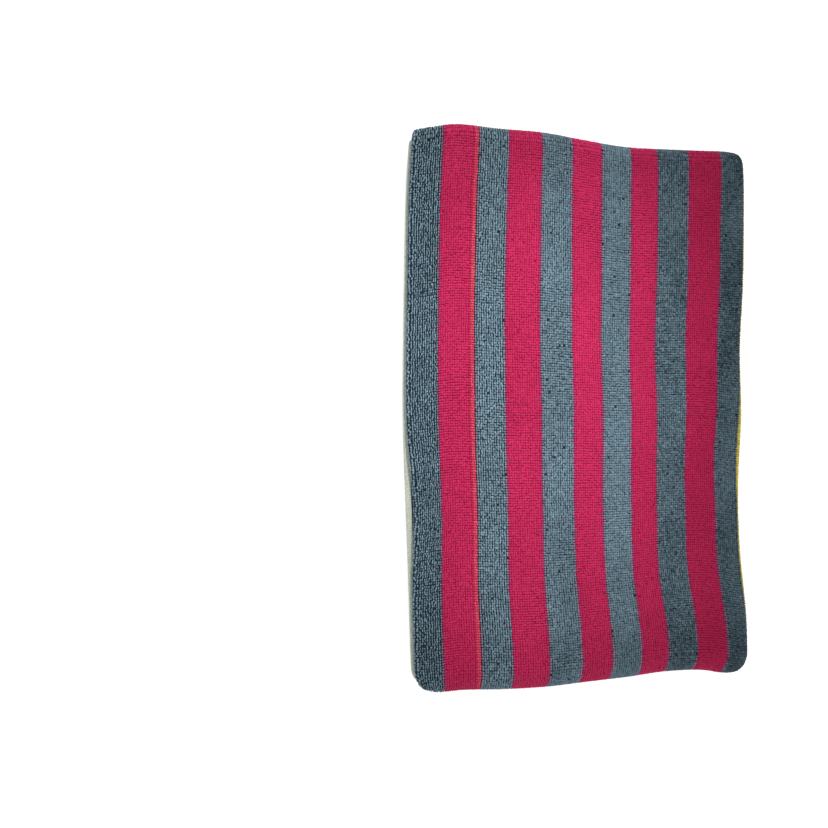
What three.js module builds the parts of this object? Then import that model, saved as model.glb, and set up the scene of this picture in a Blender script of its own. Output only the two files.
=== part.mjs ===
// A bath towel of striped terry cloth. It is one sheet, folded in thirds across its width and then in
// quarters along its length, and it lies on a surface in twelve layers that stay a little apart.
// Millimetres, +X across the packet, +Y towards its back end, +Z up. The origin is the middle of the
// packet's box, on the surface that it lies on.

import * as THREE from 'three';

// Driving dimensions
const CLOTH_WIDTH = 750;
const CLOTH_LENGTH = 1500;
const THICKNESS = 2.9; // the ground and both piles, as pressed in the fold
const LAYER_GAP = 0.5; // between the layers of a strip
const STRIP_GAP = 0.8; // between the strips
const CROWN = 2.2; // how much higher the middle is than the edges
const CORNER_REACH = 22; // a side or an end starts to turn in this far from a corner
const CORNER_FADE = 45; // and this far inside the edge, nothing is drawn in any more

// The four quarters of the length, in order. The first lies at the bottom, then the cloth goes up round
// the front, back along the top, and down and in between.
// extra: how much longer the quarter's straight run is, shift: how far it lies to the right,
// selvage: how far the outer flap's edge reaches past the left fold
const QUARTERS = [
  { level: 0, extra: 9, shift: 6.4, selvage: 0.5 },
  { level: 3, extra: 0, shift: 0, selvage: 0.8 },
  { level: 2, extra: 0, shift: 2, selvage: 0.4 },
  { level: 1, extra: 5, shift: 4.2, selvage: 0 },
];

// How far the long sides lie outward (+) or are drawn in (-), every 48 mm from the front to the back
const SIDE_STEP = 48;
const SIDES = [
  { left: -3.9, right: 2.2 },
  { left: -2.4, right: 1.3 },
  { left: -0.9, right: -3.7 },
  { left: 0.9, right: -5 },
  { left: 2.4, right: -3 },
  { left: 2.1, right: -4.2 },
  { left: 1.3, right: -1.5 },
  { left: 0.3, right: -0.7 },
  { left: -2, right: -1.2 },
];

// The same for the two ends, every 31.5 mm from the left to the right
const END_STEP = 31.5;
const ENDS = [
  { front: 2.3, back: 3.4 },
  { front: 0.4, back: 8.3 },
  { front: 1.9, back: 7.4 },
  { front: 2.4, back: 7 },
  { front: 1, back: 3.8 },
  { front: -0.4, back: 1 },
  { front: -2.5, back: 1.4 },
  { front: -1.5, back: 2.4 },
  { front: 4.6, back: 3.8 },
];

// How far the corners are drawn in, both ways
const CORNERS = {
  left: { front: 5.5, back: 1 },
  right: { front: 4, back: 2.2 },
};

// Soft swells of the top: where each one is, how high and how wide
const SWELLS = [
  { x: 70, y: 60, rise: 1, reach: 60 },
  { x: -60, y: -90, rise: 0.8, reach: 70 },
  { x: 95, y: -60, rise: -1.2, reach: 45 },
  { x: -80, y: 110, rise: -0.8, reach: 55 },
];

// Where the grid has its lines, as parts of a straight run, and its steps round each bend
const ACROSS = [0, 0.04, 0.11, 0.26, 0.42, 0.58, 0.74, 0.89, 0.96, 1];
const ALONG = [0, 0.04, 0.13, 0.25, 0.38, 0.5, 0.62, 0.75, 0.87, 0.96, 1];
const TIGHT_STEPS = 5;
const WIDE_STEPS = 8;

// Worked out from them
const layerPitch = THICKNESS + LAYER_GAP;
const stripHeight = 2 * layerPitch + THICKNESS;
const stripPitch = stripHeight + STRIP_GAP;
const packetHeight = 3 * stripPitch + stripHeight;

// The first fold turns on a tight bend at the left and a wide one at the right, which holds the inner flap
const leftBend = layerPitch / 2;
const rightBend = layerPitch;
const sectionRun = (CLOTH_WIDTH - Math.PI * (leftBend + rightBend)) / 3;
const packetWidth = sectionRun + leftBend + rightBend + THICKNESS;
const leftEnd = -packetWidth / 2 + THICKNESS / 2 + leftBend;
const rightEnd = leftEnd + sectionRun;

// The second fold turns on a wide bend at the front, with a tight one inside it, and a tight one at the
// back
const tightTurn = stripPitch / 2;
const wideTurn = 1.5 * stripPitch;
const turns = Math.PI * (wideTurn + 2 * tightTurn);
const extras = QUARTERS.reduce((sum, { extra }) => sum + extra, 0);
const quarterRun = (CLOTH_LENGTH - turns - extras) / 4;
const packetLength = quarterRun + wideTurn + tightTurn + stripHeight;
const frontEnd = -packetLength / 2 + stripHeight / 2 + wideTurn;
const backEnd = frontEnd + quarterRun;
const levelHeight = (level) => stripHeight / 2 + level * stripPitch;

// A fold's path is a list of points: the place (a, b) and the way (na, nb) that the cloth's outside faces

function straight(places, b, outside) {
  return places.map((a) => ({ a, b, na: 0, nb: outside }));
}

function bend(a, b, radius, from, to, steps, outside) {
  const points = [];
  for (let i = 1; i < steps; i++) {
    const angle = THREE.MathUtils.degToRad(from + ((to - from) * i) / steps);
    const [c, s] = [Math.cos(angle), Math.sin(angle)];
    points.push({ a: a + radius * c, b: b + radius * s, na: outside * c, nb: outside * s });
  }
  return points;
}

// The first fold, seen from the front: inner flap, left bend, middle third, right bend, outer flap.
// The outer flap's last point is its selvage, which reaches past the left bend by the quarter's own amount.
function sectionPath() {
  const places = ACROSS.map((part) => leftEnd + part * sectionRun);
  const flapDifference = leftBend + THICKNESS / 2 + QUARTERS[1].selvage;
  const innerPlaces = [...places.slice(0, -1), rightEnd - flapDifference].sort((p, q) => q - p);
  const outerPlaces = [...places].reverse();
  const tip = { a: leftEnd - leftBend - THICKNESS / 2, b: -layerPitch, na: 0, nb: -1, selvage: true };
  return [
    ...straight(innerPlaces, 0, -1),
    ...bend(leftEnd, leftBend, leftBend, 270, 90, TIGHT_STEPS, 1),
    ...straight(places, layerPitch, 1),
    ...bend(rightEnd, 0, rightBend, 90, -90, TIGHT_STEPS, 1),
    ...straight(outerPlaces, -layerPitch, -1),
    tip,
  ];
}

// The second fold, seen from the right. Each point also has how far along the four quarters it is.
function lengthPath() {
  const places = ALONG.map((part) => frontEnd + part * quarterRun);
  const toBack = (quarter) => [...places.slice(0, -1), backEnd + QUARTERS[quarter].extra];
  const heights = QUARTERS.map(({ level }) => levelHeight(level));
  const middle = levelHeight(1.5);
  const pieces = [
    [straight(toBack(0).reverse(), heights[0], -1), 0, 0],
    [bend(frontEnd, middle, wideTurn, 270, 90, WIDE_STEPS, 1), 0, 1],
    [straight(places, heights[1], 1), 1, 1],
    [bend(backEnd, levelHeight(2.5), tightTurn, 90, -90, TIGHT_STEPS + 1, 1), 1, 2],
    [straight([...places].reverse(), heights[2], -1), 2, 2],
    [bend(frontEnd, middle, tightTurn, 90, 270, TIGHT_STEPS + 1, -1), 2, 3],
    [straight(toBack(3), heights[3], 1), 3, 3],
  ];
  return pieces.flatMap(([points, from, to]) =>
    points.map((point, i) => ({ ...point, quarter: from + ((to - from) * (i + 1)) / (points.length + 1) })),
  );
}

// A quarter's column, eased from one quarter to the next round the bend between them
function quarterValue(column, at) {
  const first = Math.min(Math.floor(at), QUARTERS.length - 2);
  const part = THREE.MathUtils.smoothstep(at - first, 0, 1);
  return THREE.MathUtils.lerp(QUARTERS[first][column], QUARTERS[first + 1][column], part);
}

// A smooth curve through a column of a table whose rows are one step apart, with place 0 in the middle row
function tableValue(table, column, step, place) {
  const at = THREE.MathUtils.clamp(place / step + (table.length - 1) / 2, 0, table.length - 1.001);
  const row = Math.floor(at);
  const part = at - row;
  const [before, start, end, after] = [-1, 0, 1, 2].map((i) => {
    return table[THREE.MathUtils.clamp(row + i, 0, table.length - 1)][column];
  });
  const rise = (end - before) / 2;
  const fall = (after - start) / 2;
  const bulge = (rise * (1 - part) - fall * part) * part * (1 - part);
  return THREE.MathUtils.lerp(start, end, part * part * (3 - 2 * part)) + bulge;
}

// 1 at an edge, 0 from the given reach inward
function nearness(distance, reach) {
  const part = Math.max(0, 1 - distance / reach);
  return part * part;
}

// 0 at either edge and 1 in the middle
function dome(part) {
  return 4 * part * (1 - part);
}

// The evenly folded packet is drawn to its real, uneven outline. The underside stays flat.
function settle(point, shift) {
  const { x, y, z } = point;
  const across = x / packetWidth + 0.5;
  const along = y / packetLength + 0.5;
  const fromSide = packetWidth / 2 - Math.abs(x);
  const fromEnd = packetLength / 2 - Math.abs(y);
  const left = -tableValue(SIDES, 'left', SIDE_STEP, y);
  const right = tableValue(SIDES, 'right', SIDE_STEP, y);
  const front = -tableValue(ENDS, 'front', END_STEP, x);
  const back = tableValue(ENDS, 'back', END_STEP, x);
  const corner = CORNERS[x < 0 ? 'left' : 'right'][y < 0 ? 'front' : 'back'];
  const drawnX = corner * nearness(fromEnd, CORNER_REACH) * nearness(fromSide, CORNER_FADE);
  const drawnY = corner * nearness(fromSide, CORNER_REACH) * nearness(fromEnd, CORNER_FADE);
  point.x += shift + THREE.MathUtils.lerp(left, right, across) - Math.sign(x) * drawnX;
  point.y += THREE.MathUtils.lerp(front, back, along) - Math.sign(y) * drawnY;
  let rise = CROWN * dome(across) * dome(along);
  for (const swell of SWELLS) {
    const distance = Math.hypot(x - swell.x, y - swell.y) / swell.reach;
    rise += swell.rise * Math.exp(-distance * distance);
  }
  point.z *= 1 + rise / packetHeight;
}

// The closed skin of the sheet: a ring round the section's outside and inside, at each place along the
// length
function towelGeometry() {
  const section = sectionPath();
  const length = lengthPath();
  const outside = section.map((point) => ({ ...point, side: 1 }));
  const inside = section.map((point) => ({ ...point, side: -1 })).reverse();
  const ring = [...outside, ...inside];
  const positions = [];
  for (const place of length) {
    const shift = quarterValue('shift', place.quarter);
    const selvage = quarterValue('selvage', place.quarter);
    for (const { a, b, na, nb, side, selvage: isTip } of ring) {
      const x = a + (side * na * THICKNESS) / 2 - (isTip ? selvage : 0);
      const h = b + (side * nb * THICKNESS) / 2;
      const point = new THREE.Vector3(x, place.a + h * place.na, place.b + h * place.nb);
      settle(point, shift);
      positions.push(point.x, point.y, point.z);
    }
  }
  const index = [];
  const quad = (p, q, r, s) => index.push(p, q, r, p, r, s);
  const count = ring.length;
  for (let row = 0; row < length.length - 1; row++) {
    for (let i = 0; i < count; i++) {
      const next = (i + 1) % count;
      quad(row * count + i, row * count + next, (row + 1) * count + next, (row + 1) * count + i);
    }
  }
  const last = (length.length - 1) * count;
  for (let i = 0; i < section.length - 1; i++) {
    const [p, q, r, s] = [i, i + 1, count - 2 - i, count - 1 - i];
    quad(s, r, q, p);
    quad(last + p, last + q, last + r, last + s);
  }
  const geometry = new THREE.BufferGeometry();
  geometry.setAttribute('position', new THREE.Float32BufferAttribute(positions, 3));
  geometry.setIndex(index);
  geometry.computeBoundingBox();
  const middle = geometry.boundingBox.getCenter(new THREE.Vector3());
  geometry.translate(-middle.x, -middle.y, 0);
  geometry.computeVertexNormals();
  return geometry;
}

const slateTerry = new THREE.MeshStandardMaterial({ color: 0x5f7f8c, roughness: 0.95, metalness: 0 });

const towel = new THREE.Mesh(towelGeometry(), slateTerry);
towel.name = 'bath_towel';

const packet = new THREE.Group();
packet.add(towel);

export default packet;
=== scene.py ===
import math

import bpy
import numpy as np
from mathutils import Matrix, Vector


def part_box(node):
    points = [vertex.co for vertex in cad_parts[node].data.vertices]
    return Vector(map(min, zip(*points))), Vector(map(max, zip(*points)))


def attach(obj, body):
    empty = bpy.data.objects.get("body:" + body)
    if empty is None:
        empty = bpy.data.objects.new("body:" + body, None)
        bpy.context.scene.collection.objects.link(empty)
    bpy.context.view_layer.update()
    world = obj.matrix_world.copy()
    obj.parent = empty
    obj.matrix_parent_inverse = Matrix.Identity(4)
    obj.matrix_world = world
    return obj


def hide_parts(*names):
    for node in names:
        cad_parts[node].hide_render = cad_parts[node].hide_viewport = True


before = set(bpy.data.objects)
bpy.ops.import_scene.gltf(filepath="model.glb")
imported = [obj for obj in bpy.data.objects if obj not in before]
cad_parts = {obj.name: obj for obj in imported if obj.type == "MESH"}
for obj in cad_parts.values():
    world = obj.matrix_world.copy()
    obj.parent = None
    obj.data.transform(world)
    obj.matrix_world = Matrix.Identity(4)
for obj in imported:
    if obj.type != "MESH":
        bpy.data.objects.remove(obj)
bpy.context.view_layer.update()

# The camera stands to the left and looks down on the towel, whose length is upright in the picture.
MM = 0.001
CAMERA_AIM = Vector((-126.3, -2.25, 42)) * MM
CAMERA_TILT = math.radians(13)
CAMERA_DISTANCE = 590 * MM
FIELD_OF_VIEW = math.radians(50.02)
looking = Vector((math.sin(CAMERA_TILT), 0, -math.cos(CAMERA_TILT)))
camera = bpy.data.objects.new("camera", bpy.data.cameras.new("camera"))
camera.data.angle = FIELD_OF_VIEW
camera.location = CAMERA_AIM - looking * CAMERA_DISTANCE
camera.rotation_euler = (0, -CAMERA_TILT, 0)
bpy.context.collection.objects.link(camera)
bpy.context.scene.camera = camera


# The floor and the light: a plain white surface that glows a little, under an even light from all round,
# with a soft spot lamp high behind the towel that dies away towards its right side and its front.
def linear(red, green, blue):
    """A colour given in the 0 to 255 of a screen, as the nodes need it."""
    parts = (value / 255 for value in (red, green, blue))
    return (*(p / 12.92 if p < 0.04 else ((p + 0.055) / 1.055) ** 2.4 for p in parts), 1)


FLOOR_SIZE = 6
FLOOR_WHITE = (250, 250, 250)
FLOOR_GLOW = 0.6
FLOOR_ROUGHNESS = 0.9
bpy.ops.object.select_all(action="DESELECT")
bpy.ops.mesh.primitive_plane_add(size=FLOOR_SIZE)
floor = bpy.context.object
floor.name = "floor"
floor_paint = bpy.data.materials.new("floor_paint")
floor_paint.use_nodes = True
floor_shader = floor_paint.node_tree.nodes["Principled BSDF"]
floor_shader.inputs["Base Color"].default_value = linear(*FLOOR_WHITE)
floor_shader.inputs["Roughness"].default_value = FLOOR_ROUGHNESS
floor_shader.inputs["Emission Color"].default_value = linear(*FLOOR_WHITE)
floor_shader.inputs["Emission Strength"].default_value = FLOOR_GLOW
floor.data.materials.append(floor_paint)

STUDIO_LIGHT = 0.7
world = bpy.data.worlds.new("studio")
world.use_nodes = True
world_inputs = world.node_tree.nodes["Background"].inputs
world_inputs["Color"].default_value = (1, 1, 1, 1)
world_inputs["Strength"].default_value = STUDIO_LIGHT
bpy.context.scene.world = world
bpy.context.scene.view_settings.view_transform = "Standard"

LAMP_PLACE = Vector((8, 852, 1234)) * MM
LAMP_AIM = Vector((-60, 16, 42)) * MM
LAMP_CONE = 0.28
LAMP_SOFT_EDGE = 1
LAMP_RADIUS = 50 * MM
LAMP_POWER = 64
lamp = bpy.data.objects.new("lamp", bpy.data.lights.new("lamp", "SPOT"))
lamp.data.spot_size = LAMP_CONE
lamp.data.spot_blend = LAMP_SOFT_EDGE
lamp.data.shadow_soft_size = LAMP_RADIUS
lamp.data.energy = LAMP_POWER
lamp.location = LAMP_PLACE
lamp.rotation_euler = (LAMP_AIM - LAMP_PLACE).to_track_quat("-Z", "Y").to_euler()
bpy.context.collection.objects.link(lamp)

# The towel's ground: one woven sheet of 750 by 1500 mm, folded in thirds across its width and then in
# quarters along its length. Both ends are turned under and sewn flat, and both sides are bare selvages.
# The loops of the pile stand on it wherever its outside shows.
CLOTH_WIDTH = 750 * MM
CLOTH_LENGTH = 1500 * MM
THICKNESS = 2.9 * MM
LAYER_GAP = 0.5 * MM
STRIP_GAP = 0.8 * MM
CROWN = 2.2 * MM

# The four quarters of the length, in order, as they lie: bottom, top, and then down in between
QUARTERS = [
    {"level": 0, "extra": 9, "shift": 6.4, "selvage": 0.5},
    {"level": 3, "extra": 0, "shift": 0, "selvage": 0.8},
    {"level": 2, "extra": 0, "shift": 2, "selvage": 0.4},
    {"level": 1, "extra": 5, "shift": 4.2, "selvage": 0},
]

# How far the long sides lie outward or are drawn in, every 48 mm from the front to the back
SIDE_STEP = 48 * MM
SIDES = [
    {"left": -3.9, "right": 2.2},
    {"left": -2.4, "right": 1.3},
    {"left": -0.9, "right": -3.7},
    {"left": 0.9, "right": -5},
    {"left": 2.4, "right": -3},
    {"left": 2.1, "right": -4.2},
    {"left": 1.3, "right": -1.5},
    {"left": 0.3, "right": -0.7},
    {"left": -2, "right": -1.2},
]

# The same for the two ends, every 31.5 mm from the left to the right
END_STEP = 31.5 * MM
ENDS = [
    {"front": 2.3, "back": 3.4},
    {"front": 0.4, "back": 8.3},
    {"front": 1.9, "back": 7.4},
    {"front": 2.4, "back": 7},
    {"front": 1, "back": 3.8},
    {"front": -0.4, "back": 1},
    {"front": -2.5, "back": 1.4},
    {"front": -1.5, "back": 2.4},
    {"front": 4.6, "back": 3.8},
]

# How far the corners are drawn in both ways, over how much of each edge, and how far inward that fades
CORNERS = {"left": {"front": 5.5, "back": 1}, "right": {"front": 4, "back": 2.2}}
CORNER_REACH = 22 * MM
CORNER_FADE = 45 * MM

# Soft swells and hollows of the packet, besides its even crown
SWELLS = [
    {"x": 70, "y": 60, "rise": 1, "reach": 60},
    {"x": -60, "y": -90, "rise": 0.8, "reach": 70},
    {"x": 95, "y": -60, "rise": -1.2, "reach": 45},
    {"x": -80, "y": 110, "rise": -0.8, "reach": 55},
]

# How far the stripes wander to the right, every 50 mm of the top from the front to the back, at five
# places from its left to its right
SWAY_STEP = 50 * MM
SWAY = [
    {"left": -2, "half_left": 0.3, "middle": 2.8, "half_right": 3.8, "right": 1.1},
    {"left": -1.3, "half_left": -1, "middle": 0.4, "half_right": -1.2, "right": -2.4},
    {"left": 0.4, "half_left": 0.3, "middle": 0.4, "half_right": -0.3, "right": -2.1},
    {"left": 0.7, "half_left": 0, "middle": 0.6, "half_right": -1, "right": -3.9},
    {"left": 0.5, "half_left": -0.2, "middle": 0, "half_right": -2.3, "right": -1.5},
    {"left": 0.4, "half_left": -1, "middle": -1.5, "half_right": -3, "right": -1.3},
    {"left": 0.2, "half_left": -0.5, "middle": -2.6, "half_right": -2.5, "right": -1.5},
    {"left": 0.3, "half_left": 0, "middle": -2.8, "half_right": -2, "right": 0},
]
SWAY_FADE_LENGTH = 160 * MM
SWAY_FADE_WIDTH = 60 * MM

# Where the top's left fold is drawn in, so that more of the selvage under it shows: how far, where along
# the towel, how long that stretch is, and how it fades to the right and round the front and back turns
DIP_DEPTH = 3.2 * MM
DIP_PLACE = -62 * MM
DIP_REACH = 36 * MM
DIP_FADE = 24 * MM
DIP_TURN_SHARE = 1 / 3

# The stripes across the cloth, from the inner flap's selvage to the outer flap's. The left fold lies in the
# first slate stripe after the inner flap, and the right fold where the last one meets the yellow stripe.
# A stripe's tone is how light its loops are, and partly painted shade: stripes of one yarn are one dye, and
# their tones fall towards the right fold as painted shade. open is how far its loops stand apart, with dark
# gaps between them, in real shadow and in painted shade.
# mixed_end is 0 where a stripe ends without loops of both colours.
FLAP_STRIPES = 5
FLAP_SLATE = {"yarn": "slate", "tone": 0.75, "open": 0.5}
FLAP_FUCHSIA = {"yarn": "fuchsia", "tone": 0.75, "open": 0.2}
STRIPES = [
    {"yarn": "selvage", "width": 4},
    *[{**FLAP_SLATE, "width": 23.46}, {**FLAP_FUCHSIA, "width": 23.46}] * FLAP_STRIPES,
    {"yarn": "slate", "width": 25.95, "tone": 0.84, "open": 1},
    {"yarn": "fuchsia", "width": 22.8, "tone": 0.79, "open": 0.25, "mixed_end": 0},
    {"yarn": "coral", "width": 2.5, "tone": 0.75, "open": 0.5},
    {"yarn": "bare", "width": 0.45},
    {"yarn": "slate", "width": 21.95, "tone": 0.73, "open": 0.6},
    {"yarn": "fuchsia", "width": 25.5, "tone": 0.79, "open": 0.2},
    {"yarn": "slate", "width": 23.55, "tone": 0.61, "open": 0.35},
    {"yarn": "fuchsia", "width": 22.35, "tone": 0.79, "open": 0.1},
    {"yarn": "slate", "width": 22.27, "tone": 0.56, "open": 0.2},
    {"yarn": "fuchsia", "width": 20.55, "tone": 0.7, "open": 0.05},
    {"yarn": "slate", "width": 23.95, "tone": 0.42, "open": 0.3},
    {"yarn": "fuchsia", "width": 25.26, "tone": 0.52, "open": 0},
    {"yarn": "slate", "width": 18.92, "tone": 0.3, "open": 0.1, "mixed_end": 0},
    {"yarn": "yellow", "width": 22, "tone": 0.85, "open": 0.3},
    *[{**FLAP_FUCHSIA, "width": 22.94}, {**FLAP_SLATE, "width": 22.94}] * FLAP_STRIPES,
    {"yarn": "selvage", "width": 4},
]


def column(table, name):
    """One column of a table in millimetres, in metres."""
    return np.array([row[name] for row in table]) * MM


# Worked out from these: the layers and strips, the runs between the folds, and where the folds lie
layer_pitch = THICKNESS + LAYER_GAP
strip_height = 2 * layer_pitch + THICKNESS
strip_pitch = strip_height + STRIP_GAP
packet_height = 3 * strip_pitch + strip_height
left_bend = layer_pitch / 2
right_bend = layer_pitch
section_run = (CLOTH_WIDTH - math.pi * (left_bend + right_bend)) / 3
packet_width = section_run + left_bend + right_bend + THICKNESS
left_end = -packet_width / 2 + THICKNESS / 2 + left_bend
right_end = left_end + section_run
tight_turn = strip_pitch / 2
wide_turn = 1.5 * strip_pitch
extras = column(QUARTERS, "extra")
quarter_run = (CLOTH_LENGTH - math.pi * (wide_turn + 2 * tight_turn) - extras.sum()) / 4
packet_length = quarter_run + wide_turn + tight_turn + strip_height
front_end = -packet_length / 2 + strip_height / 2 + wide_turn
back_end = front_end + quarter_run

# Places on the flat cloth: across it from the inner flap's selvage, and along it from the bottom hem
tip_reach = left_bend + THICKNESS / 2 + column(QUARTERS, "selvage")[1]
inner_end = section_run - tip_reach
middle_start = inner_end + math.pi * left_bend
middle_end = middle_start + section_run
outer_start = middle_end + math.pi * right_bend
bottom_end = quarter_run + extras[0]
top_start = bottom_end + math.pi * wide_turn
top_end = top_start + quarter_run
third_start = top_end + math.pi * tight_turn


def eased(part):
    """From 0 to 1 with a soft start and end."""
    part = np.clip(part, 0, 1)
    return part * part * (3 - 2 * part)


def table_curve(values, at):
    """A smooth curve through values one step apart, read at a number of steps from the first."""
    # Kept just short of the last value, so that another one follows
    at = np.clip(at, 0, len(values) - 1.001)
    row = np.floor(at).astype(int)
    part = at - row
    before, start, end, after = [values[np.clip(row + i, 0, len(values) - 1)] for i in (-1, 0, 1, 2)]
    bulge = ((end - before) * (1 - part) - (after - start) * part) / 2 * part * (1 - part)
    return start + (end - start) * eased(part) + bulge


def centred_curve(values, step, place):
    """The same, with place 0 in the middle of the table."""
    return table_curve(values, place / step + (len(values) - 1) / 2)


def quarter_value(name, at):
    """A value of the quarters, which changes softly in the turn from one to the next."""
    values = column(QUARTERS, name)
    first = np.minimum(np.floor(at), len(values) - 2).astype(int)
    return values[first] + (values[first + 1] - values[first]) * eased(at - first)


def sway(across, along):
    """How far the stripes lie to the right there. It fades out past the top and in both flaps."""
    row = (along - top_start - quarter_run / 2) / SWAY_STEP + (len(SWAY) - 1) / 2
    at = np.clip((across - middle_start) / section_run, 0, 1) * (len(SWAY[0]) - 1)
    total = sum(
        table_curve(column(SWAY, name), row) * np.clip(1 - abs(at - i), 0, 1)
        for i, name in enumerate(SWAY[0])
    )
    past_end = np.maximum(top_start - along, along - top_end)
    past_side = np.maximum(middle_start - across, across - middle_end)
    return total * eased(1 - past_end / SWAY_FADE_LENGTH) * eased(1 - past_side / SWAY_FADE_WIDTH)


def first_fold(across, selvage):
    """The section: where a point lies and which way the cloth's outside faces."""
    left_turn = 1.5 * math.pi - (across - inner_end) / left_bend
    right_turn = 0.5 * math.pi - (across - middle_end) / right_bend
    past_flap = np.maximum(across - outer_start - section_run, 0) / tip_reach
    where = [across < inner_end, across < middle_start, across < middle_end, across < outer_start]
    still = 0 * across
    x = np.select(
        where,
        [
            left_end + inner_end - across,
            left_end + left_bend * np.cos(left_turn),
            left_end + across - middle_start,
            right_end + right_bend * np.cos(right_turn),
        ],
        right_end - np.minimum(across - outer_start, section_run)
        - past_flap * (left_bend + THICKNESS / 2 + selvage),
    )
    turn_height = left_bend + left_bend * np.sin(left_turn)
    painted_shades = [still, turn_height, still + layer_pitch, right_bend * np.sin(right_turn)]
    height = np.select(where, painted_shades, -layer_pitch)
    outside_x = np.select(where, [still, np.cos(left_turn), still, np.cos(right_turn)], 0)
    outside_height = np.select(where, [still - 1, np.sin(left_turn), still + 1, np.sin(right_turn)], -1)
    return x, height, outside_x, outside_height


def second_fold(along):
    """The length: where a point lies, which way the outside faces, and how far through the quarters it is."""
    ends = [bottom_end, top_start, top_end, third_start, third_start + quarter_run]
    ends.append(ends[-1] + math.pi * tight_turn)
    run = np.searchsorted(ends, along, side="right")
    past = along - np.array([0, *ends])[run]
    part = past / np.diff([0, *ends, CLOTH_LENGTH])[run]
    wide = 1.5 * math.pi - past / wide_turn
    back = 0.5 * math.pi - past / tight_turn
    inner = 0.5 * math.pi + past / tight_turn
    middle = strip_height / 2 + 1.5 * strip_pitch
    still = 0 * past
    level = [strip_height / 2 + row["level"] * strip_pitch for row in QUARTERS]
    y = np.choose(run, [
        back_end + extras[0] - past,
        front_end + wide_turn * np.cos(wide),
        front_end + past,
        back_end + tight_turn * np.cos(back),
        back_end - past,
        front_end + tight_turn * np.cos(inner),
        front_end + past,
    ])
    z = np.choose(run, [
        still + level[0],
        middle + wide_turn * np.sin(wide),
        still + level[1],
        level[2] + tight_turn + tight_turn * np.sin(back),
        still + level[2],
        middle + tight_turn * np.sin(inner),
        still + level[3],
    ])
    outside_y = np.choose(run, [still, np.cos(wide), still, np.cos(back), still, -np.cos(inner), still])
    up = still + 1
    outside_z = np.choose(run, [-up, np.sin(wide), up, np.sin(back), -up, -np.sin(inner), up])
    return y, z, outside_y, outside_z, run // 2 + run % 2 * part


def nearness(distance, reach):
    """1 at an edge, 0 from the given reach inward."""
    return np.maximum(0, 1 - distance / reach) ** 2


def settle(x, y, z, shift):
    """The evenly folded packet is drawn to its real, uneven outline. The underside stays flat."""
    across = x / packet_width + 0.5
    along = y / packet_length + 0.5
    from_side = packet_width / 2 - abs(x)
    from_end = packet_length / 2 - abs(y)
    left_corner, right_corner = [
        np.where(y < 0, CORNERS[side]["front"], CORNERS[side]["back"]) * MM for side in ("left", "right")
    ]
    corner = np.where(x < 0, left_corner, right_corner)
    drawn_x = corner * nearness(from_end, CORNER_REACH) * nearness(from_side, CORNER_FADE)
    drawn_y = corner * nearness(from_side, CORNER_REACH) * nearness(from_end, CORNER_FADE)
    left, right = [centred_curve(column(SIDES, name), SIDE_STEP, y) for name in ("left", "right")]
    front, back = [centred_curve(column(ENDS, name), END_STEP, x) for name in ("front", "back")]
    # 16 brings the product of these four shares to 1 in the middle
    rise = CROWN * 16 * across * (1 - across) * along * (1 - along)
    for swell in SWELLS:
        distance = np.hypot(x - swell["x"] * MM, y - swell["y"] * MM) / (swell["reach"] * MM)
        rise = rise + swell["rise"] * MM * np.exp(-distance * distance)
    return (
        x + shift - left * (1 - across) + right * across - np.sign(x) * drawn_x,
        y - front * (1 - along) + back * along - np.sign(y) * drawn_y,
        z * (1 + rise / packet_height),
    )


def folded(across, along, lift):
    """Where a point of the flat cloth lies in the packet, lift away from the middle of its thickness."""
    across, along, lift = np.broadcast_arrays(across, along, lift)
    y, z, outside_y, outside_z, quarter = second_fold(along)
    selvage = quarter_value("selvage", quarter)
    shift = quarter_value("shift", quarter)
    x, height, outside_x, outside_height = first_fold(across + sway(across, along), selvage)
    dip = DIP_DEPTH * np.exp(-(((y - DIP_PLACE) / DIP_REACH) ** 2))
    dip = dip * eased(1 - abs(quarter - 1) / DIP_TURN_SHARE)
    x = x + dip * eased(1 + height / layer_pitch) * eased(1 - (x - left_end) / DIP_FADE)
    height = height + lift * outside_height
    return np.stack(settle(x + lift * outside_x, y + height * outside_y, z + height * outside_z, shift), -1)


def steps(start, end, longest):
    """Even steps from start to before end, none of them longer than asked."""
    rounding = 1e-6
    return np.linspace(start, end, math.ceil((end - start) / longest - rounding), endpoint=False)


def pile_shows(across, along):
    """True where the cloth's outside shows, and so has its loops."""
    on_left_fold = (across > left_pile_start) & (across < middle_start + PILE_PAST_FOLD)
    on_right_fold = (across > middle_end - PILE_PAST_FOLD) & (across < outer_start + PILE_PAST_FOLD)
    outermost = (across > left_pile_start) & (across < outer_start + PILE_PAST_FOLD)
    outermost &= along < third_start + PILE_PAST_FOLD
    in_hem = (along < HEM_WIDTH) | (along > CLOTH_LENGTH - HEM_WIDTH)
    return (on_left_fold | on_right_fold | outermost) & ~in_hem


def add_mesh(name, points, faces, chart, materials):
    """A piece from its points, its faces and each point's place on a flat chart of the cloth."""
    mesh = bpy.data.meshes.new(name)
    mesh.from_pydata(points - packet_middle, [], faces, shade_flat=False)
    mesh.uv_layers.new(name="OFBake").data.foreach_set("uv", chart[faces].astype(np.float32).ravel())
    for material in materials:
        mesh.materials.append(material)
    piece = bpy.data.objects.new(name, mesh)
    bpy.context.collection.objects.link(piece)
    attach(piece, "root")
    return piece


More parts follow.
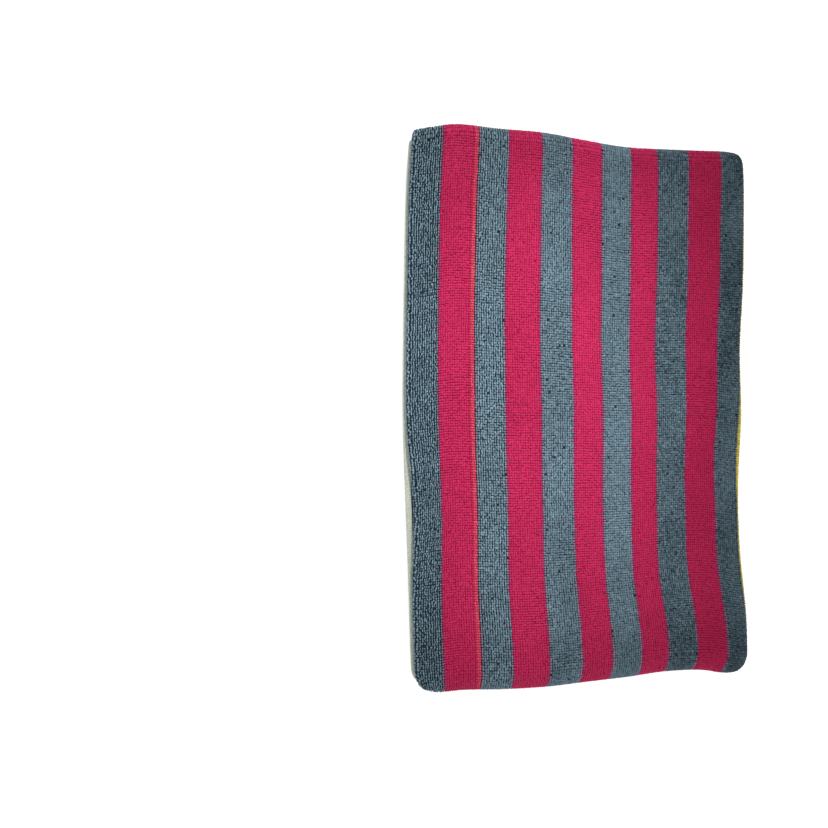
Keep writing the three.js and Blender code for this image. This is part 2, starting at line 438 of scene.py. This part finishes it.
class Wire:
    """A socket of a material's nodes. Arithmetic on it adds Math nodes."""

    def __init__(self, socket):
        self.socket = socket

    @staticmethod
    def node(tree, kind, settings, inputs):
        """Adds a node, with its settings and then its sockets' values or links."""
        made = tree.nodes.new(kind)
        for name, value in settings.items():
            setattr(made, name, value)
        for name, value in inputs.items():
            if isinstance(value, Wire):
                tree.links.new(value.socket, made.inputs[name])
            else:
                made.inputs[name].default_value = value
        return made

    def maths(self, operation, first, second):
        tree = self.socket.id_data
        made = Wire.node(tree, "ShaderNodeMath", {"operation": operation}, {0: first, 1: second})
        return Wire(made.outputs[0])

    def __add__(self, other):
        return self.maths("ADD", self, other)

    def __sub__(self, other):
        return self.maths("SUBTRACT", self, other)

    def __rsub__(self, other):
        return self.maths("SUBTRACT", other, self)

    def __mul__(self, other):
        return self.maths("MULTIPLY", self, other)

    __radd__ = __add__
    __rmul__ = __mul__


COTTON_ROUGHNESS = 0.95
WEAVE_SHINE = 0.2
WEAVE_CELLS = {"Scale": 620, "Randomness": 0.6}
WEAVE_CONTRAST = 0.8
WEAVE_RELIEF = {"Strength": 0.6, "Distance": 0.5 * MM}
PATCHES = {"Scale": 45, "Detail": 3}
PATCH_CONTRAST = 0.4


def new_cotton(name):
    """A new material, its node tree and the place on the towel."""
    material = bpy.data.materials.new(name)
    material.use_nodes = True
    tree = material.node_tree
    return material, tree, Wire(Wire.node(tree, "ShaderNodeTexCoord", {}, {}).outputs["Object"])


def blend(tree, share, first, second):
    """The colour that lies a share of the way from the first to the second."""
    inputs = {0: share, 6: first, 7: second}
    return Wire(Wire.node(tree, "ShaderNodeMix", {"data_type": "RGBA"}, inputs).outputs[2])


def finish_cotton(tree, colour, shine, relief):
    """Gives the shader a colour, the dullness of cotton and a fine relief."""
    bump = Wire.node(tree, "ShaderNodeBump", {}, relief)
    shader = tree.nodes["Principled BSDF"]
    shader.inputs["Roughness"].default_value = COTTON_ROUGHNESS
    shader.inputs["Specular IOR Level"].default_value = shine
    tree.links.new(colour.socket, shader.inputs["Base Color"])
    tree.links.new(bump.outputs["Normal"], shader.inputs["Normal"])


def cloth_material(name, light, dark):
    """Woven ground or sewing thread: a small even mottle of the yarn's light and dark."""
    material, tree, place = new_cotton(name)
    cells = Wire.node(tree, "ShaderNodeTexVoronoi", {}, {"Vector": place, **WEAVE_CELLS})
    patches = Wire.node(tree, "ShaderNodeTexNoise", {}, {"Vector": place, **PATCHES})
    height = 1 - Wire(cells.outputs["Distance"])
    shade = height * WEAVE_CONTRAST + Wire(patches.outputs["Fac"]) * PATCH_CONTRAST - PATCH_CONTRAST / 2
    colour = blend(tree, shade, linear(*dark), linear(*light))
    finish_cotton(tree, colour, WEAVE_SHINE, {**WEAVE_RELIEF, "Height": height})
    return material


# How far the pile goes on past a fold, how wide the hems are and where they are sewn, and how far the
# ground's faces lie from the middle of its thickness, with their shares of that at a seam and at an edge
PILE_PAST_FOLD = 4 * MM
HEM_WIDTH = 14 * MM
HEM_SEAM = 11 * MM
GROUND_LIFT = 0.5 * MM
PRESSED_LIFT = 1.35 * MM
SELVAGE_LIFT = 0.9 * MM
SEAM_SHARE = 0.75
EDGE_SHARE = 0.45
EDGE_ROUNDING = 0.7 * MM
HEM_STEP = 1 * MM

# The lengths of the ground's faces in the folds, in the turns and where the cloth lies flat, how far past
# a turn or the pile they stay short, and how close two places count as one
FOLD_STEP = 1.2 * MM
TURN_STEP = 2.4 * MM
FLAT_STEP = 13 * MM
TURN_MARGIN = 2 * MM
PILE_MARGIN = 1 * MM
SAME_PLACE = 0.1 * MM

stripe_ends = np.cumsum([stripe["width"] for stripe in STRIPES]) * MM
stripe_starts = stripe_ends - column(STRIPES, "width")
left_pile_start = stripe_starts[1 + 2 * FLAP_STRIPES]


def with_marks(marks, fine_stretches, fine):
    """Places from the first mark to the last, through every mark, with fine steps in some stretches."""
    marks = sorted({*marks, *(end for stretch in fine_stretches for end in stretch)})
    places = []
    for start, end in zip(marks, marks[1:]):
        middle = (start + end) / 2
        is_fine = any(low < middle < high for low, high in fine_stretches)
        places.extend(steps(start, end, fine if is_fine else FLAT_STEP))
    return np.array([*places, marks[-1]])


width_marks = [0, EDGE_ROUNDING, *stripe_ends[:-1], CLOTH_WIDTH - EDGE_ROUNDING, CLOTH_WIDTH]
width_folds = [
    (inner_end - PILE_PAST_FOLD, middle_start + PILE_PAST_FOLD),
    (middle_end - PILE_PAST_FOLD, outer_start + PILE_PAST_FOLD),
]
ground_across = with_marks(width_marks, width_folds, FOLD_STEP)
length_marks = [0, EDGE_ROUNDING, HEM_SEAM, HEM_WIDTH - HEM_STEP, HEM_WIDTH]
length_marks = [*length_marks, *(CLOTH_LENGTH - mark for mark in length_marks)]
third_end = third_start + quarter_run
length_turns = [
    (bottom_end - TURN_MARGIN, top_start + TURN_MARGIN),
    (top_end - TURN_MARGIN, third_start + PILE_PAST_FOLD + PILE_MARGIN),
    (third_end - TURN_MARGIN, third_end + math.pi * tight_turn + TURN_MARGIN),
]
ground_along = with_marks(length_marks, length_turns, TURN_STEP)

across, along = np.meshgrid(ground_across, ground_along)
from_side = np.minimum(across, CLOTH_WIDTH - across)
from_end = np.minimum(along, CLOTH_LENGTH - along)
pressed = np.where(from_side < stripe_ends[0] - SAME_PLACE, SELVAGE_LIFT, PRESSED_LIFT)
pressed = np.where(abs(from_end - HEM_SEAM) < SAME_PLACE, pressed * SEAM_SHARE, pressed)
pressed = np.where(np.minimum(from_side, from_end) < SAME_PLACE, pressed * EDGE_SHARE, pressed)
outside = folded(across, along, np.where(pile_shows(across, along), GROUND_LIFT, pressed))
inside = folded(across, along, -pressed)

# The packet's middle is set where the solid's is
solid_low, solid_high = [np.array(corner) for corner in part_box("bath_towel")]
half_thick = [folded(across, along, side * THICKNESS / 2) for side in (1, -1)]
packet_low = np.min([points.min((0, 1)) for points in half_thick], 0)
packet_high = np.max([points.max((0, 1)) for points in half_thick], 0)
packet_middle = ((packet_low + packet_high) - (solid_low + solid_high)) / 2 * (1, 1, 0)

rows, columns = across.shape
number = np.arange(rows * columns).reshape(rows, columns)
corners = [number[:-1, :-1], number[:-1, 1:], number[1:, 1:], number[1:, :-1]]
outside_faces = np.stack(corners, -1).reshape(-1, 4)
inside_faces = outside_faces[:, ::-1] + rows * columns
rim = np.concatenate([number[0, :], number[1:, -1], number[-1, -2::-1], number[-2:0:-1, 0]])
next_rim = np.roll(rim, -1)
rim_faces = np.stack([next_rim, rim, rim + rows * columns, next_rim + rows * columns], -1)
ground_faces = np.concatenate([outside_faces, inside_faces, rim_faces])
ground_points = np.concatenate([outside.reshape(-1, 3), inside.reshape(-1, 3)])
flat_chart = np.stack([across / CLOTH_WIDTH / 2, along / CLOTH_LENGTH], -1).reshape(-1, 2)
ground_chart = np.concatenate([flat_chart, flat_chart + (0.5, 0)])

# The yarns' woven colours. The slate ground is painted dark as shade, where it shows between the loops and
# between the layers; the hems keep the slate's own colours. The bare groove beside the coral is painted dark
# as shade too.
GROUND_COLOURS = {
    "selvage": {"light": (216, 220, 206), "dark": (164, 170, 156)},
    "slate": {"light": (38, 60, 74), "dark": (10, 24, 36)},
    "slate_hem": {"light": (108, 134, 148), "dark": (58, 82, 96)},
    "fuchsia": {"light": (196, 36, 92), "dark": (132, 10, 52)},
    "coral": {"light": (220, 92, 86), "dark": (150, 40, 52)},
    "bare": {"light": (84, 30, 52), "dark": (36, 14, 30)},
    "yellow": {"light": (222, 202, 96), "dark": (158, 138, 46)},
}
ground_materials = [cloth_material(f"{yarn}_ground", **pair) for yarn, pair in GROUND_COLOURS.items()]
ground = add_mesh("towel_ground", ground_points, ground_faces, ground_chart, ground_materials)
yarn_order = list(GROUND_COLOURS)
face_across = across.ravel()[ground_faces % (rows * columns)].mean(1)
face_stripe = np.searchsorted(stripe_ends[:-1], face_across)
face_yarns = np.array([yarn_order.index(STRIPES[i]["yarn"]) for i in face_stripe])
face_along = along.ravel()[ground_faces % (rows * columns)].mean(1)
in_hem = np.minimum(face_along, CLOTH_LENGTH - face_along) < HEM_WIDTH
face_yarns[in_hem & (face_yarns == yarn_order.index("slate"))] = yarn_order.index("slate_hem")
ground.data.polygons.foreach_set("material_index", face_yarns)
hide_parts("bath_towel")

# The pile: rows of cotton loops that stand close together on the ground, a column of them for each dyed
# warp yarn, so that the stripes run the whole length of the towel. Each stripe's pile is one piece. Under
# the packet the loops are pressed flat.
LOOP_PITCH = 1.68 * MM
LOOP_HALF_WIDTH = 0.91 * MM
OPEN_LOOP_HALF_WIDTH = 0.448 * MM
LOOP_HALF_LENGTH = 0.8816 * MM
LOOP_ROOT = 0.25 * MM
LOOP_SHOULDER = 1.2 * MM
LOOP_TOP = 1.52 * MM
PRESSED_TOP = 1.4 * MM

# The rings of a loop's corners, from its root up: their share of its width, height and share of its lean
DOME_RINGS = ((1, LOOP_ROOT, 0), (0.84, LOOP_SHOULDER, 0.6), (0, LOOP_TOP, 1))
PRESSED_RINGS = ((1, LOOP_ROOT, 0), (0.7, PRESSED_TOP, 0.6))

# How loops differ. What is named OPEN counts in full in a stripe whose loops stand fully apart
MISSING_LOOPS = 0.004
LAST_COLUMN_SHARE = 0.35
SIZES = (0.88, 1.08)
HEIGHTS = (0.88, 1.0)
LARGEST_TURN = 0.35
STRAY = 0.1 * MM
OPEN_STRAY = 0.08 * MM
LEAN = 0.35 * MM
LEAN_REACH = 5 * MM
STRETCH = 0.16
STRETCH_REACH = 22 * MM
GRAIN = 0.05
OPEN_GRAIN = 0.14
# The painted shade at a loop's root in a stripe whose loops stand fully apart
OPEN_GAP_SHADE = 0.85
TONE_DRIFTS = [{"depth": 0.07, "reach": 45}, {"depth": 0.05, "reach": 16}]

# The few loops of an open stripe that lie low, in the shade of the others, with more painted shade on their
# colour
OPEN_LOW_LOOPS = 0.01
LOW_HEIGHT = 0.5
LOW_PAINTED_SHADE = 0.4

# The loops at a stripe's two edges, which keep its line, and how many of them hold yarn of both colours
EDGE_SIZE = 0.9
EDGE_LENGTH = 0.85
EDGE_STRAY = 0.5
EDGE_MIXED = {"slate": 0.7, "fuchsia": 0.5, "coral": 0.6, "yellow": 0.3}
MIXED_SHARES = (0.5, 0.95)
MIXED_IN_DARK = 0.4

# Patches of painted shade on the pile: their middle, measured from the left fold and from the wide fold, how
# far they reach both ways, and by what share they are darker
PAINTED_SHADE_PATCHES = [
    {"across": 120, "along": 0, "wide": 400, "long": 19, "darker": 0.2},
    {"across": 112, "along": 42, "wide": 17, "long": 24, "darker": 0.24},
    {"across": 10, "along": 48, "wide": 20, "long": 44, "darker": 0.2},
]
random = np.random.default_rng(12)


def drift(across, along, reach):
    """A soft random field between -1 and 1, whose patches are about reach wide."""
    spare = 3
    lattice_size = [int(size / reach) + spare for size in (CLOTH_WIDTH, CLOTH_LENGTH)]
    lattice = random.uniform(-1, 1, lattice_size)
    column_at, row_at = across / reach, along / reach
    i, j = column_at.astype(int), row_at.astype(int)
    p, q = eased(column_at - i), eased(row_at - j)
    near = lattice[i, j] * (1 - p) + lattice[i + 1, j] * p
    far = lattice[i, j + 1] * (1 - p) + lattice[i + 1, j + 1] * p
    return near * (1 - q) + far * q


def loop_rings(rings, across, along, half_width, half_length, turn, lean_across, lean_along, tall):
    """The corner points of loops, folded and on the flat cloth."""
    points, flat = [], []
    for share, height, lean in rings:
        for corner in range(4 if share else 1):
            angle = turn + math.pi * (corner + 0.5) / 2
            a = across + share * half_width * math.sqrt(2) * np.cos(angle) + lean * lean_across
            b = along + share * half_length * math.sqrt(2) * np.sin(angle) + lean * lean_along
            points.append(folded(a, b, LOOP_ROOT + (height - LOOP_ROOT) * tall))
            flat.append(np.stack([a, b], -1))
    return np.stack(points, 1), np.stack(flat, 1)


DOME_FACES = [
    *((i, (i + 1) % 4, 4 + (i + 1) % 4) for i in range(4)),
    *((i, 4 + (i + 1) % 4, 4 + i) for i in range(4)),
    *((4 + i, 4 + (i + 1) % 4, 8) for i in range(4)),
]
PRESSED_FACES = [*DOME_FACES[:8], (4, 5, 6), (4, 6, 7)]

PILE_SHINE = 0.15
STRANDS = {"Scale": 1500, "Detail": 2}
STRAND_CONTRAST = 0.5
STRAND_RELIEF = {"Strength": 0.5, "Distance": 0.2 * MM}


def pile_material(name, light, dark, edge):
    """Cotton loops, with painted shade from their light tops down into the dark gaps between them, and a few
    in the next stripe's colour.
    """
    material, tree, place = new_cotton(name)
    height, tone, mixed = [
        Wire(Wire.node(tree, "ShaderNodeAttribute", {"attribute_name": part}, {}).outputs["Fac"])
        for part in ("height", "tone", "mixed")
    ]
    strands = Wire(Wire.node(tree, "ShaderNodeTexNoise", {}, {"Vector": place, **STRANDS}).outputs["Fac"])
    # Painted shade: the height attribute darkens a loop's colour from its top down to its root
    lit = height * height * (tone + strands * STRAND_CONTRAST - STRAND_CONTRAST / 2)
    colour = blend(tree, lit, linear(*dark), linear(*light))
    colour = blend(tree, mixed * height, colour, linear(*edge))
    finish_cotton(tree, colour, PILE_SHINE, {**STRAND_RELIEF, "Height": strands})
    return material


def loop_tones(across, along, stripe):
    """How light each loop is: uneven from loop to loop, in soft patches, and darker in patches of painted
    shade.
    """
    tone = stripe["tone"] + random.normal(0, GRAIN + OPEN_GRAIN * stripe["open"], len(across))
    for patches in TONE_DRIFTS:
        tone = tone + patches["depth"] * drift(across, along, patches["reach"] * MM)
    # Painted shade: the loops are painted darker in these patches
    for patch in PAINTED_SHADE_PATCHES:
        aside = (across - middle_start - patch["across"] * MM) / (patch["wide"] * MM)
        away = (along - top_start - patch["along"] * MM) / (patch["long"] * MM)
        tone = tone * (1 - patch["darker"] * np.exp(-(aside**2) - away**2))
    return tone


def stripe_loops(start, stripe):
    """The places, shapes, tones and shares of mixed yarn of a stripe's loops, as far as they show."""
    width = stripe["width"] * MM
    apart = stripe["open"]
    loops_across = math.ceil(width / LOOP_PITCH - LAST_COLUMN_SHARE)
    across = start + (np.arange(loops_across) + 0.5) * width / loops_across
    along = np.arange(HEM_WIDTH + LOOP_PITCH / 2, CLOTH_LENGTH - HEM_WIDTH, LOOP_PITCH)
    across, along = [places.ravel() for places in np.meshgrid(across, along)]
    stands = pile_shows(across, along) & (random.random(len(across)) > MISSING_LOOPS)
    across, along = across[stands], along[stands]
    count = len(across)
    is_edge = np.minimum(across - start, start + width - across) < width / loops_across
    keeps_line = is_edge & (loops_across > 2)
    is_low = random.random(count) < OPEN_LOW_LOOPS * apart
    is_mixed = is_edge & (random.random(count) < EDGE_MIXED[stripe["yarn"]])
    mixed = is_mixed * random.uniform(*MIXED_SHARES, count)
    mixed = mixed * np.where(across > start + width / 2, stripe.get("mixed_end", 1), 1)
    mixed = mixed * (MIXED_IN_DARK + (1 - MIXED_IN_DARK) * stripe["tone"])
    stray = STRAY + OPEN_STRAY * apart
    across = across + random.normal(0, stray, count) * ~keeps_line
    along = along + random.normal(0, stray, count) * np.where(is_edge, EDGE_STRAY, 1)
    stretch = 1 + STRETCH * drift(across, along, STRETCH_REACH)
    lean_across = LEAN * drift(across, along, LEAN_REACH) + random.normal(0, stray, count)
    lean_along = LEAN * drift(across, along, LEAN_REACH) + random.normal(0, stray, count)
    turn = random.uniform(-LARGEST_TURN, LARGEST_TURN, count)
    size = random.uniform(*SIZES, count) * np.where(is_edge, EDGE_SIZE, 1)
    half_width = LOOP_HALF_WIDTH + (OPEN_LOOP_HALF_WIDTH - LOOP_HALF_WIDTH) * apart
    tall = np.where(is_low, LOW_HEIGHT, random.uniform(*HEIGHTS, count))
    # Painted shade: low loops are painted darker
    tone = loop_tones(across, along, stripe) * np.where(is_low, LOW_PAINTED_SHADE, 1)
    shapes = {
        "across": across,
        "along": along,
        "half_width": half_width * size / stretch,
        "half_length": LOOP_HALF_LENGTH * size * stretch * np.where(is_edge, EDGE_LENGTH, 1),
        "turn": turn,
        "lean_across": lean_across,
        "lean_along": lean_along,
        "tall": tall,
    }
    return shapes, tone, mixed


CHART_COLUMNS = 4
chart_span = CLOTH_LENGTH / CHART_COLUMNS


def add_pile(name, start, stripe, material):
    """The loops of one stripe, with those under the packet pressed flat."""
    width = stripe["width"] * MM
    shapes, tone, mixed = stripe_loops(start, stripe)
    # Painted shade at the loops' roots, the deeper the further apart a stripe's loops stand
    root_shade = 1 - OPEN_GAP_SHADE * stripe["open"]
    is_pressed = shapes["along"] < bottom_end
    points, faces, charts, painted_shades, tones, mixes = [], [], [], [], [], []
    for chosen, loop_faces, rings in (
        (~is_pressed, DOME_FACES, DOME_RINGS),
        (is_pressed, PRESSED_FACES, PRESSED_RINGS),
    ):
        if not chosen.any():
            continue
        ring_points, flat = loop_rings(rings, **{part: values[chosen] for part, values in shapes.items()})
        each = ring_points.shape[1]
        first = sum(len(part) for part in points) + np.arange(len(ring_points)) * each
        faces.append((first[:, None, None] + np.array(loop_faces)).reshape(-1, 3))
        points.append(ring_points.reshape(-1, 3))
        rise = [(height - LOOP_ROOT) / (rings[-1][1] - LOOP_ROOT) for share, height, lean in rings]
        corners = [4 if share else 1 for share, height, lean in rings]
        shades = root_shade + (1 - root_shade) * np.repeat(rise, corners)
        painted_shades.append(np.tile(shades, len(ring_points)))
        tones.append(np.repeat(tone[chosen], each))
        mixes.append(np.repeat(mixed[chosen], each))
        strip = np.floor(shapes["along"][chosen] / chart_span)[:, None]
        flat_across = (flat[..., 0] - start + LOOP_PITCH) / (width + 2 * LOOP_PITCH)
        chart = np.stack([(flat_across + strip) / CHART_COLUMNS, flat[..., 1] / chart_span - strip], -1)
        charts.append(chart.reshape(-1, 2))
    piece = add_mesh(name, np.concatenate(points), np.concatenate(faces), np.concatenate(charts), [material])
    for part, values in (("height", painted_shades), ("tone", tones), ("mixed", mixes)):
        attribute = piece.data.attributes.new(part, "FLOAT", "POINT")
        attribute.data.foreach_set("value", np.concatenate(values).astype(np.float32))
    return piece


# Each yarn's light at a loop's top, its dark, to which the painted shade and the lower tones go at the roots,
# and the colour of the mixed loops at a stripe's edge
PILE_COLOURS = {
    "slate": {"light": (144, 172, 187), "dark": (5, 23, 31), "edge": (164, 130, 160)},
    "fuchsia": {"light": (210, 50, 102), "dark": (144, 8, 50), "edge": (156, 76, 120)},
    "coral": {"light": (238, 104, 120), "dark": (188, 50, 84), "edge": (208, 50, 100)},
    "yellow": {"light": (238, 218, 104), "dark": (168, 148, 48), "edge": (160, 164, 104)},
}
pile_materials = {yarn: pile_material(f"{yarn}_loops", **colours) for yarn, colours in PILE_COLOURS.items()}
piles = []
first_shown = 1 + 2 * FLAP_STRIPES
for stripe, start in list(zip(STRIPES, stripe_starts))[first_shown:-1]:
    yarn = stripe["yarn"]
    if yarn == "bare" or start > outer_start + PILE_PAST_FOLD:
        continue
    number_of = 1 + sum(pile.name.startswith(yarn) for pile in piles)
    pile = add_pile(f"{yarn}_stripe_{number_of}", start, stripe, pile_materials[yarn])
    piles.append(pile)

# The sewing: one row of plain stitches in slate cotton thread along each hem, the same on both faces. The
# stitches pull the hem down into a shallow groove.
STITCH_PITCH = 3.4 * MM
STITCH_HALF_LENGTH = 1.45 * MM
THREAD_HALF_WIDTH = 0.3 * MM
STITCH_ROOT = 0.85 * MM
STITCH_SHOULDER = 1.222 * MM
STITCH_TOP = 1.3 * MM
THREAD_COLOURS = {"light": (132, 150, 158), "dark": (84, 104, 114)}

stitch_across = np.arange(STITCH_PITCH, CLOTH_WIDTH - STITCH_PITCH / 2, STITCH_PITCH)
stitch_points, stitch_faces, stitch_charts = [], [], []
stitch_rows = [(seam, face) for seam in (HEM_SEAM, CLOTH_LENGTH - HEM_SEAM) for face in (1, -1)]
for row_number, (seam, face) in enumerate(stitch_rows):
    still = np.zeros(len(stitch_across))
    rings = ((1, face * STITCH_ROOT, 0), (0.8, face * STITCH_SHOULDER, 0), (0, face * STITCH_TOP, 0))
    ring_points, flat = loop_rings(
        rings, stitch_across, still + seam, STITCH_HALF_LENGTH, THREAD_HALF_WIDTH, 0, still, still, 1
    )
    each = ring_points.shape[1]
    first = (row_number * len(stitch_across) + np.arange(len(stitch_across))) * each
    stitch_faces.append((first[:, None, None] + np.array(DOME_FACES)[:, ::face]).reshape(-1, 3))
    stitch_points.append(ring_points.reshape(-1, 3))
    chart_row = (row_number + 0.5 + (flat[..., 1] - seam) / MM) / len(stitch_rows)
    stitch_charts.append(np.stack([flat[..., 0] / CLOTH_WIDTH, chart_row], -1).reshape(-1, 2))
stitches = add_mesh(
    "hem_stitches",
    np.concatenate(stitch_points),
    np.concatenate(stitch_faces),
    np.concatenate(stitch_charts),
    [cloth_material("cotton_thread", **THREAD_COLOURS)],
)
